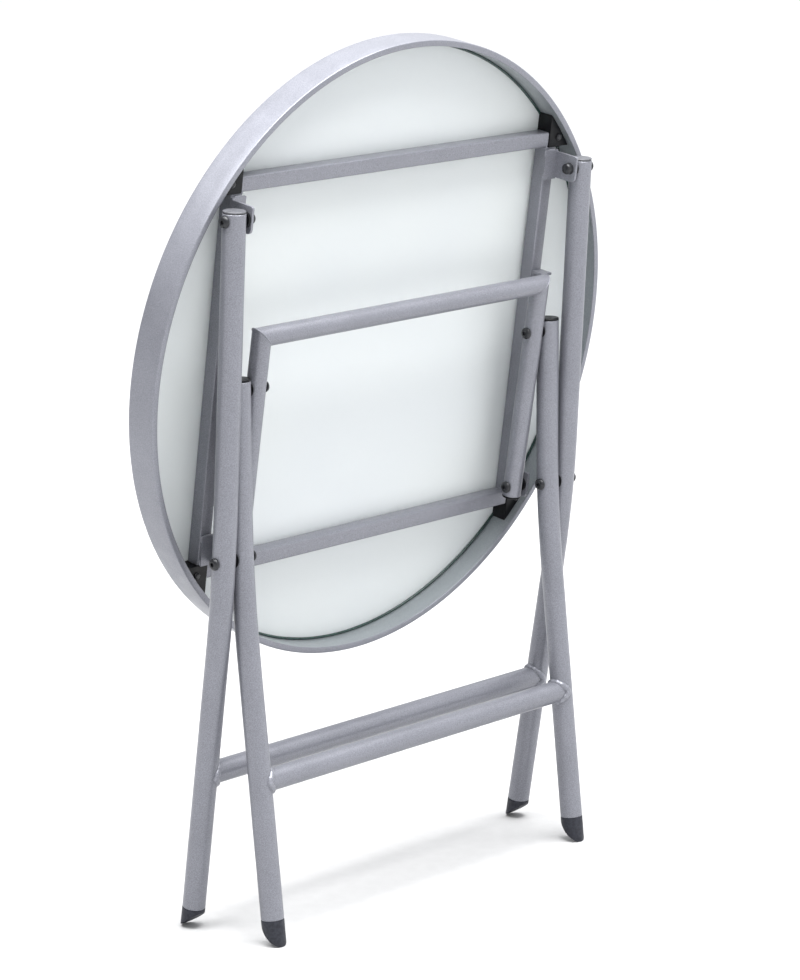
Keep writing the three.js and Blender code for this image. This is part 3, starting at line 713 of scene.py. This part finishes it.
# ---- rim and glass ---------------------------------------------------------------
inside = RIM_RADIUS - RIM_LIP
rim_profile = arc((RIM_RADIUS - 1.1, 1.1), 1.1, 0, -90, 5)
rim_profile += arc((inside + 0.7, 0.7), 0.7, -90, -180, 4)
rim_profile += [(inside, 12), (inside, GLASS_SEAT - 0.5), (inside + 0.5, GLASS_SEAT)]
rim_profile += [(POCKET - 0.2, GLASS_SEAT)]
rim_profile += [(POCKET, GLASS_SEAT + 0.2), (POCKET, RIM_HEIGHT - 0.8)]
rim_profile += arc((POCKET + 0.8, RIM_HEIGHT - 0.8), 0.8, 180, 90, 3)
rim_profile += arc((RIM_RADIUS - 2.0, RIM_HEIGHT - 2.0), 2.0, 90, 0, 6)
rim_profile += [(RIM_RADIUS, 26), (RIM_RADIUS, 12)]
points, faces = spun(rim_profile)
rim = make("rim_band", points, faces, BAND_PAINTED_LIGHT, "tabletop", ["rim"], 40)
# The inner wall of the rim, from just above the lip to the glass, takes a lighter, blue-green copy of the silver
# coat: painted light and painted reflection of the glass.
rim.data.materials.append(WALL_PAINTED_REFLECTION)
to_top = STAND.inverted()
for face in rim.data.polygons:
    spot = to_top @ face.center / MM
    if spot.y > 2.5 and math.hypot(spot.x, spot.z) < inside + 0.4:
        face.material_index = 1

glass_radius = POCKET - 2 * GAP
underside = [(150, GLASS_LOW), (300, GLASS_LOW), (glass_radius - 1.0, GLASS_LOW)]
edge = [(glass_radius, GLASS_LOW + 1.0), (glass_radius, GLASS_HIGH - 1.0)]
upper = [(glass_radius - 1.0, GLASS_HIGH), (300, GLASS_HIGH), (150, GLASS_HIGH)]
points, faces = disc(underside + edge + upper)
make("glass_disc", points, faces, GLASS, "tabletop", ["glass_top"], 30)

# A dark green ring in the corner between the rim's inner wall and the glass: painted shade at the glass's edge.
shade_line_profile = arc((inside - 1.4, GLASS_LOW - 1.2), GLASS_SHADE_LINE, 0, 360, 12)[:-1]
points, faces = spun(shade_line_profile)
make("glass_edge_shade_line", points, faces, EDGE_PAINTED_SHADE, "tabletop", angle=180)


# ---- square tubes ------------------------------------------------------------------
def square_section(size, radius, steps=6):
    """Square with rounded corners."""
    half = size / 2 - radius
    section = []
    for corner, (sp, sq) in enumerate(((1, 1), (-1, 1), (-1, -1), (1, -1))):
        section += arc((sp * half, sq * half), radius, corner * 90, corner * 90 + 90, steps)
    return section


def square_tube(low, high, place):
    """Square tube; place turns a distance along it and a point of its section into a point in space."""
    rings = []
    for along, inset in ((low, 0.5), (low + 0.5, 0), (high - 0.5, 0), (high, 0.5)):
        rings.append([place(along, p, q) for p, q in square_section(TUBE - 2 * inset, 2.0)])
    return skin(rings)


frame_middle = FRAME_FRONT + TUBE / 2
for level, sign in (("upper", 1), ("lower", -1)):

    def place(along, p, q, z=sign * CROSSBAR_Z):
        return Vector((along, frame_middle + p, z + q))

    points, faces = square_tube(-CROSSBAR_HALF, CROSSBAR_HALF, place)
    covers = [f"crossbar_{level}"]
    make(f"crossbar_tube_{level}", points, faces, STEEL, "tabletop", covers, 40)
for side, sign in SIDES:

    def place(along, p, q, x=sign * RAIL_X):
        return Vector((x + p, frame_middle + q, along))

    points, faces = square_tube(-RAIL_HALF, RAIL_HALF, place)
    make(f"rail_tube_{side}", points, faces, STEEL, "tabletop", [f"rail_{side}"], 40)


# ---- weld beads on the tabletop frame ---------------------------------------------------
def line(start, end, steps=14):
    """Evenly spaced points from start to end."""
    a, b = Vector(start), Vector(end)
    return [a.lerp(b, i / steps) for i in range(steps + 1)]


weld_y = FRAME_FRONT - 1.6
end_y = FRAME_FRONT - 1.8
for side, sign in SIDES:
    runs = []
    for z in (LEG_PIVOT[1], LINK_PIVOT[1]):
        x = rail_in - 1.6 if z > 0 else rail_out - 0.7
        runs.append(line((x, weld_y, z - FLANGE_WELD_END), (x, weld_y, z - 10)))
        runs.append(line((x, weld_y, z + 10), (x, weld_y, z + FLANGE_WELD_END)))
        runs.append(line((rail_in + 3, end_y, z + 17.1), (rail_out - 3, end_y, z + 17.1)))
    for z in (-CORNER_WELD_Z, CORNER_WELD_Z):
        front = FRAME_FRONT + 0.5
        runs.append(line((rail_in + 0.2, front, z), (CROSSBAR_HALF - 0.4, front, z), 6))
        runs.append(line((rail_in - 0.1, FRAME_FRONT + 1, z), (rail_in - 0.1, FRAME_FRONT + TUBE - 1, z)))
    points, faces = joined([bead(run, FRAME_WELD, number + sign) for number, run in enumerate(runs)])
    points = both_sides(points, sign)
    make(f"frame_welds_{side}", points, faces, WELD, "tabletop", angle=180)


# ---- CAD nodes that keep their own shape ---------------------------------------------------
def finish_cad(node, material, edge, segments=3):
    """Softens a CAD node's edges and gives it its material."""
    piece = frame["nodes"][node]
    piece.data.materials.clear()
    piece.data.materials.append(material)
    weld = piece.modifiers.new("weld", "WELD")
    weld.merge_threshold = 1e-5
    round_over = piece.modifiers.new("round", "BEVEL")
    round_over.width = edge * MM
    round_over.segments = segments
    round_over.limit_method = "ANGLE"
    round_over.angle_limit = math.radians(40)


for side, _ in SIDES:
    finish_cad(f"leg_bracket_{side}", STEEL, 0.55)
    finish_cad(f"link_bracket_{side}", STEEL, 0.55)
    finish_cad(f"bar_stop_{side}", STEEL, 0.45)
    for level in ("upper", "lower"):
        finish_cad(f"corner_block_{level}_{side}", BLACK, 0.7)
        finish_cad(f"corner_screw_{level}_{side}", FASTENER, 0.2, 2)
        finish_cad(f"glass_pad_{level}_{side}", PAD, 0.5)


# ---- stage, light and camera ---------------------------------------------------------------
def add_floor():
    """Flat floor at the height where the table stands."""
    mesh = bpy.data.meshes.new("studio_floor")
    corners = [(-1, -1), (1, -1), (1, 1), (-1, 1)]
    mesh.from_pydata([(x * FLOOR_SIZE, y * FLOOR_SIZE, 0) for x, y in corners], [], [(0, 1, 2, 3)])
    mesh.materials.append(FLOOR)
    floor = bpy.data.objects.new("studio_floor", mesh)
    bpy.context.scene.collection.objects.link(floor)


def add_softbox(name, at, target, size, power):
    """Rectangular soft lamp that faces target."""
    data = bpy.data.lights.new(name, "AREA")
    data.shape = "RECTANGLE"
    data.size, data.size_y = size
    data.energy = power
    lamp = bpy.data.objects.new(name, data)
    lamp.location = at
    lamp.rotation_mode = "QUATERNION"
    lamp.rotation_quaternion = (Vector(target) - Vector(at)).to_track_quat("-Z", "Y")
    bpy.context.scene.collection.objects.link(lamp)


def add_world():
    """Studio surroundings: bright overhead, dim towards the horizon and dimmest beyond the left."""
    world = bpy.data.worlds.new("studio")
    world.use_nodes = True
    nodes, links = world.node_tree.nodes, world.node_tree.links
    background = nodes["Background"]
    coords = nodes.new("ShaderNodeTexCoord")
    turn = nodes.new("ShaderNodeMapping")
    turn.vector_type = "POINT"
    turn.inputs["Rotation"].default_value = (0, 0, math.radians(WORLD_TURN))
    parts = nodes.new("ShaderNodeSeparateXYZ")
    links.new(coords.outputs["Generated"], turn.inputs["Vector"])
    links.new(turn.outputs["Vector"], parts.inputs["Vector"])
    height = ramp(nodes, links, parts.outputs["Z"], grey(0), grey(1), 0.0, 0.9)
    across = nodes.new("ShaderNodeMapRange")
    across.inputs["From Min"].default_value = -1
    across.inputs["From Max"].default_value = 1
    across.inputs["To Min"].default_value = WORLD_LEFT
    across.inputs["To Max"].default_value = WORLD_RIGHT
    links.new(parts.outputs["X"], across.inputs["Value"])
    level = nodes.new("ShaderNodeMix")
    level.inputs["B"].default_value = WORLD_TOP
    links.new(height, level.inputs["Factor"])
    links.new(across.outputs["Result"], level.inputs["A"])
    links.new(level.outputs["Result"], background.inputs["Strength"])
    background.inputs["Color"].default_value = (0.97, 0.98, 1.0, 1)
    bpy.context.scene.world = world


def add_camera():
    """Long lens in front of the leg side and to its left, looking slightly down."""
    data = bpy.data.cameras.new("camera")
    data.sensor_width = CAMERA_SENSOR
    data.lens = CAMERA_LENS
    data.clip_end = 200
    camera = bpy.data.objects.new("camera", data)
    turn = Matrix.Rotation(-CAMERA_HEADING, 4, "Z") @ Matrix.Rotation(math.pi / 2 + CAMERA_TILT, 4, "X")
    camera.matrix_world = Matrix.Translation(CAMERA_AT) @ turn @ Matrix.Rotation(CAMERA_ROLL, 4, "Z")
    bpy.context.scene.collection.objects.link(camera)
    bpy.context.scene.camera = camera


add_floor()
add_world()
add_softbox("overhead", (0.1, -0.6, 3.3), (0, 0, 0.5), (2.6, 2.2), 230)
add_softbox("upper_left", (-1.6, 0.5, 3.2), (0, 0, 0.6), (1.4, 1.4), 60)
add_camera()
bpy.context.scene.view_settings.view_transform = "Standard"
